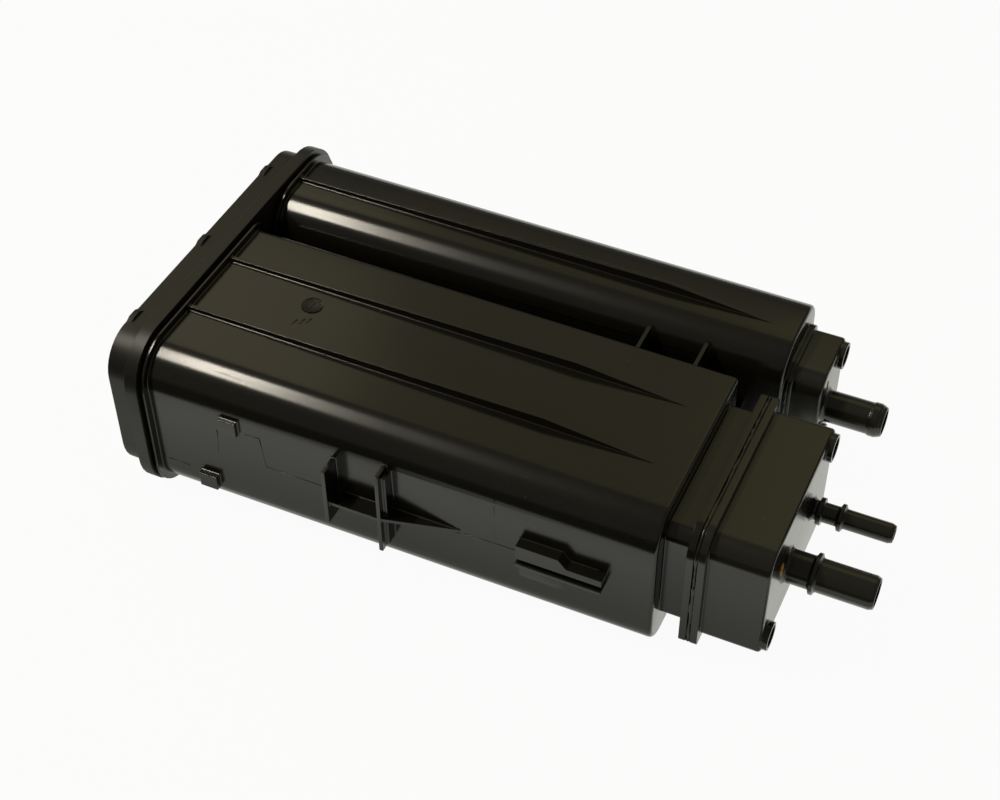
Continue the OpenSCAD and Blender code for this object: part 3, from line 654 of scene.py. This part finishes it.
def nylon(name, dark, light, smooth, rough, dust, scuffs, coarse=0.0):
    material = bpy.data.materials.new(name)
    material.use_nodes = True
    tree = material.node_tree
    shader = tree.nodes["Principled BSDF"]
    shader.inputs["IOR"].default_value = NYLON_IOR
    grain = add(tree, "ShaderNodeGroup", node_tree=MOULD_GRAIN)
    marks = add(tree, "ShaderNodeGroup", node_tree=HANDLING)
    marks.inputs["Dust"].default_value = dust
    marks.inputs["Scuffs"].default_value = scuffs
    flow = spread(tree, grain.outputs["Flow Marks"], 0.3, 0.7, 0.0, 1.0)
    base = mix_colour(tree, flow, dark, light)
    dusty = mix_colour(tree, marks.outputs["Dust Mask"], base, DUST_COLOUR)
    tree.links.new(dusty, shader.inputs["Base Color"])
    gloss = spread(tree, grain.outputs["Flow Marks"], 0.3, 0.7, smooth, rough)
    scuffed = spread(tree, marks.outputs["Scuff Mask"], 0.0, 1.0, 0.0, 0.25)
    place = add(tree, "ShaderNodeTexCoord")
    split = add(tree, "ShaderNodeSeparateXYZ")
    tree.links.new(place.outputs["Object"], split.inputs["Vector"])
    coarser = spread(tree, split.outputs["X"], COARSE_FROM - COARSE_BLEND, COARSE_FROM, coarse, 0.0)
    tree.links.new(add_values(tree, add_values(tree, gloss, scuffed), coarser), shader.inputs["Roughness"])
    bump = add(tree, "ShaderNodeBump", Strength=0.06, Distance=0.02 * MM)
    tree.links.new(grain.outputs["Height"], bump.inputs["Height"])
    tree.links.new(bump.outputs["Normal"], shader.inputs["Normal"])
    return material


shell_nylon = nylon("shell nylon", (0.0075, 0.0070, 0.0045), (0.013, 0.012, 0.008),
                    0.165, 0.22, 0.35, 0.5, coarse=0.24)
cap_nylon = nylon("cap nylon", (0.015, 0.0142, 0.009), (0.021, 0.0198, 0.013), 0.20, 0.27, 0.3, 0.4)
dial_nylon = nylon("dial nylon", (0.008, 0.0076, 0.0040), (0.013, 0.0122, 0.0068), 0.34, 0.44, 0.2, 0.3)


def paint(piece, material):
    piece.data.materials.clear()
    piece.data.materials.append(material)


for piece in (housing, cover, cover_bead, mould_joints, hook_panel, hook_lip, marks):
    paint(piece, shell_nylon)
paint(dial, shell_nylon)
dial.data.materials.append(dial_nylon)
for face in dial.data.polygons:
    face.material_index = int((face.center - dial_middle).to_2d().length < DIAL_DISC_R)
for piece in (port_cap, vent_cap, cap_bead, vent_bead):
    paint(piece, cap_nylon)

# %% [markdown]
# ## Carbon, foam, wire and paint
# Carbon pellets are packed rods about 2 mm thick: a cell texture gives each pellet its own grey and its
# own hump. Foam is open cells between thin struts, which the rims of a second cell texture draw; the
# middles of the cells are painted darker, as painted shade in their hollows. Spring wire carries long
# drawing marks, and inspection paint is thin at its rim.

# %% A finish from one texture
def plain_finish(name, metal=0.0):
    material = bpy.data.materials.new(name)
    material.use_nodes = True
    tree = material.node_tree
    shader = tree.nodes["Principled BSDF"]
    shader.inputs["Metallic"].default_value = metal
    place = add(tree, "ShaderNodeTexCoord")
    return material, tree, shader, place.outputs["Object"]


def raise_skin(tree, shader, height, strength, distance):
    bump = add(tree, "ShaderNodeBump", Strength=strength, Distance=distance)
    tree.links.new(height, bump.inputs["Height"])
    tree.links.new(bump.outputs["Normal"], shader.inputs["Normal"])


def carbon_pellets():
    material, tree, shader, place = plain_finish("carbon pellets")
    cells = add(tree, "ShaderNodeTexVoronoi", Scale=420.0)
    tree.links.new(place, cells.inputs["Vector"])
    grey = spread(tree, cells.outputs["Color"], 0.0, 1.0, 0.0, 1.0)
    pellet = mix_colour(tree, grey, (0.006, 0.006, 0.006), (0.02, 0.02, 0.019))
    tree.links.new(pellet, shader.inputs["Base Color"])
    tree.links.new(spread(tree, cells.outputs["Color"], 0.0, 1.0, 0.6, 0.9), shader.inputs["Roughness"])
    raise_skin(tree, shader, spread(tree, cells.outputs["Distance"], 0.0, 0.8, 1.0, 0.0), 0.9, 1.2 * MM)
    return material


def open_cell_foam():
    material, tree, shader, place = plain_finish("open cell foam")
    cells = add(tree, "ShaderNodeTexVoronoi", feature="DISTANCE_TO_EDGE", Scale=900.0)
    tree.links.new(place, cells.inputs["Vector"])
    # Painted shade: the middle of each open cell is darker than the struts round it.
    hollow_shade = spread(tree, cells.outputs["Distance"], 0.02, 0.3, 0.0, 1.0)
    cell = mix_colour(tree, hollow_shade, (0.36, 0.355, 0.30), (0.15, 0.148, 0.12))
    tree.links.new(cell, shader.inputs["Base Color"])
    tree.links.new(spread(tree, cells.outputs["Distance"], 0.0, 0.3, 0.8, 0.98), shader.inputs["Roughness"])
    raise_skin(tree, shader, spread(tree, cells.outputs["Distance"], 0.0, 0.3, 1.0, 0.0), 0.8, 0.6 * MM)
    return material


def spring_wire():
    material, tree, shader, place = plain_finish("spring wire", 1.0)
    drawn = add(tree, "ShaderNodeTexNoise", Scale=700.0, Detail=3.0)
    tree.links.new(place, drawn.inputs["Vector"])
    streak = spread(tree, drawn.outputs["Fac"], 0.35, 0.65, 0.0, 1.0)
    steel = mix_colour(tree, streak, (0.40, 0.40, 0.41), (0.60, 0.60, 0.61))
    tree.links.new(steel, shader.inputs["Base Color"])
    tree.links.new(spread(tree, drawn.outputs["Fac"], 0.35, 0.65, 0.24, 0.42), shader.inputs["Roughness"])
    return material


def inspection_paint():
    material, tree, shader, place = plain_finish("inspection paint")
    thick = add(tree, "ShaderNodeTexNoise", Scale=600.0, Detail=2.0)
    tree.links.new(place, thick.inputs["Vector"])
    body = spread(tree, thick.outputs["Fac"], 0.35, 0.62, 0.0, 1.0)
    orange = mix_colour(tree, body, (0.30, 0.11, 0.012), (0.78, 0.40, 0.06))
    tree.links.new(orange, shader.inputs["Base Color"])
    tree.links.new(spread(tree, thick.outputs["Fac"], 0.35, 0.62, 0.55, 0.35), shader.inputs["Roughness"])
    return material


# %% Paint the inner pieces
plate_nylon = nylon("plate nylon", (0.07, 0.07, 0.066), (0.10, 0.10, 0.094), 0.35, 0.5, 0.2, 0.1)
charcoal, foam, wire, dab_paint = carbon_pellets(), open_cell_foam(), spring_wire(), inspection_paint()
for node in BEDS:
    paint(frame["nodes"][node], charcoal)
for piece in pads:
    paint(piece, foam)
for piece in plates:
    paint(piece, plate_nylon)
for piece in springs:
    paint(piece, wire)
for piece in (tank_dab, vent_dab):
    paint(piece, dab_paint)
print("materials:", len(bpy.data.materials))

# %% [markdown]
# ## The white studio
# The portrait stands near the front edge of a white table in a dim room. To the lens the table is pure
# white with a trace of shadow. What the glossy walls mirror of it is a painted reflection: painted shade
# in the canister's own shadow, white a hand's breadth out, and dark past the table's edge. A ramp along Y
# paints that: each of its stops has a place across the table, from front to back, and a grey.

# %% The table
# Painted reflection for glossy rays: dark past the table's front edge, white a hand's breadth out, and
# painted shade close in front of the canister.
PAINTED_TABLE_REFLECTION = ((0.0, 0.02), (0.278, 0.02), (0.318, 1.0), (0.335, 0.80),
                (0.37, 0.52), (0.39, 0.46), (0.41, 1.0))
TABLE_TINT = (0.985, 1.0, 0.915)
TABLE_SPAN = 0.8
TABLE_SIZE = 8.0
TABLE_Z = -0.5 * MM
LENS_SHARE = 0.95


def ramp_along_y(tree):
    place = add(tree, "ShaderNodeTexCoord")
    split = add(tree, "ShaderNodeSeparateXYZ")
    tree.links.new(place.outputs["Object"], split.inputs["Vector"])
    along = spread(tree, split.outputs["Y"], -TABLE_SPAN / 2, TABLE_SPAN / 2, 0.0, 1.0)
    ramp = add(tree, "ShaderNodeValToRGB")
    stops = ramp.color_ramp.elements
    while len(stops) < len(PAINTED_TABLE_REFLECTION):
        stops.new(0.5)
    for stop, (where, grey) in zip(stops, PAINTED_TABLE_REFLECTION):
        stop.position = where
        stop.color = (*(grey * part for part in TABLE_TINT), 1.0)
    tree.links.new(along, ramp.inputs["Fac"])
    return ramp.outputs["Color"]


def studio_white(name):
    material = bpy.data.materials.new(name)
    material.use_nodes = True
    tree = material.node_tree
    shader = tree.nodes["Principled BSDF"]
    shader.inputs["Base Color"].default_value = (0.9, 0.9, 0.9, 1.0)
    shader.inputs["Roughness"].default_value = 0.9
    shader.inputs["Specular IOR Level"].default_value = 0.0
    path = add(tree, "ShaderNodeLightPath")
    mirrored = add_values(tree, path.outputs["Is Glossy Ray"], path.outputs["Is Transmission Ray"])
    glow = add(tree, "ShaderNodeEmission", Strength=1.0)
    # Glossy rays see this painted reflection ramp instead of the lit table.
    tree.links.new(mix_colour(tree, mirrored, (1.0, 1.0, 1.0), ramp_along_y(tree)), glow.inputs["Color"])
    lens_share = add(tree, "ShaderNodeMath", operation="MULTIPLY")
    lens_share.inputs[1].default_value = LENS_SHARE
    tree.links.new(path.outputs["Is Camera Ray"], lens_share.inputs[0])
    blend = add(tree, "ShaderNodeMixShader")
    tree.links.new(add_values(tree, lens_share.outputs[0], mirrored), blend.inputs["Fac"])
    tree.links.new(shader.outputs[0], blend.inputs[1])
    tree.links.new(glow.outputs[0], blend.inputs[2])
    tree.links.new(blend.outputs[0], tree.nodes["Material Output"].inputs["Surface"])
    return material


white = studio_white("studio white")
bpy.ops.object.select_all(action="DESELECT")
bpy.ops.mesh.primitive_plane_add(size=TABLE_SIZE, location=(0.0, 0.0, TABLE_Z))
floor = bpy.context.active_object
floor.name = "studio_floor"
paint(floor, white)

# %% [markdown]
# A narrow strip light hangs overhead to the left: it draws the bright streak on the long rounded edge,
# which dies away to the right. Three warm panels in a row at the back are what the flat tops mirror. The
# left one is the brightest, so the tops darken from left to right, as they do in the photograph.

# %% Lamps and the room
def softbox(name, place, aim, width, depth, power, tint):
    lamp = bpy.data.lights.new(name, "AREA")
    lamp.shape = "RECTANGLE"
    lamp.size = width
    lamp.size_y = depth
    lamp.energy = power
    lamp.color = tint
    holder = bpy.data.objects.new(name, lamp)
    bpy.context.scene.collection.objects.link(holder)
    holder.location = place
    away = (Vector(place) - Vector(aim)).normalized()
    across = (Vector((1.0, 0.0, 0.0)) - away * away.x).normalized()
    holder.rotation_mode = "QUATERNION"
    holder.rotation_quaternion = Matrix((across, away.cross(across), away)).transposed().to_quaternion()
    return holder


softbox("overhead strip", (-0.74, -0.33, 1.34), (0.0, 0.0, 0.05), 0.09, 0.70, 8.6, (1.0, 0.93, 0.79))
softbox("back panel", (-0.98, 0.72, 1.08), (-0.1, 0.0, 0.08), 0.8, 0.6, 0.95, (1.0, 0.88, 0.56))
softbox("dim panel", (-0.02, 0.78, 1.08), (0.05, 0.0, 0.08), 1.1, 0.6, 0.36, (1.0, 0.92, 0.36))
softbox("right panel", (0.20, 0.78, 1.08), (0.12, 0.0, 0.07), 0.6, 0.6, 0.22, (1.0, 0.95, 0.38))

ROOM_TINT = (1.0, 0.95, 0.84, 1.0)
ROOM_LEVEL = 0.14
world = bpy.data.worlds.new("studio air")
bpy.context.scene.world = world
world.use_nodes = True
air = world.node_tree
room = air.nodes["Background"]
room.inputs["Color"].default_value = ROOM_TINT
room.inputs["Strength"].default_value = ROOM_LEVEL
backdrop = add(air, "ShaderNodeBackground", Color=(1.0, 1.0, 1.0, 1.0), Strength=1.0)
lens_path = add(air, "ShaderNodeLightPath")
choose = add(air, "ShaderNodeMixShader")
air.links.new(lens_path.outputs["Is Camera Ray"], choose.inputs["Fac"])
air.links.new(room.outputs[0], choose.inputs[1])
air.links.new(backdrop.outputs[0], choose.inputs[2])
air.links.new(choose.outputs[0], air.nodes["World Output"].inputs["Surface"])
print("lamps:", len(bpy.data.lights))
bpy.context.scene.view_settings.view_transform = "Standard"

# %% [markdown]
# ## The camera
# The camera stands where the photographer stood: its direction, distance and lens were worked out from
# points of the canister in the photograph, and a slight roll sets the canister straight.

# %% The photograph's camera
PHOTO_AZIMUTH = math.radians(24.93)
PHOTO_ELEVATION = math.radians(44.40)
PHOTO_DISTANCE = 0.868
PHOTO_AIM = Vector((-0.01655, -0.0075, 0.0494))
PHOTO_ROLL = math.radians(-0.48)
LENS_MM = 64.63
SENSOR_MM = 36.0
lens = bpy.data.cameras.new("photo camera")
lens.lens = LENS_MM
lens.sensor_width = SENSOR_MM
camera = bpy.data.objects.new("photo camera", lens)
bpy.context.scene.collection.objects.link(camera)
back = Vector((math.sin(PHOTO_AZIMUTH) * math.cos(PHOTO_ELEVATION),
               -math.cos(PHOTO_AZIMUTH) * math.cos(PHOTO_ELEVATION),
               math.sin(PHOTO_ELEVATION)))
camera.location = PHOTO_AIM + back * PHOTO_DISTANCE
camera.rotation_mode = "QUATERNION"
camera.rotation_quaternion = (-back).to_track_quat("-Z", "Y") @ Quaternion((0, 0, 1), PHOTO_ROLL)
bpy.context.scene.camera = camera
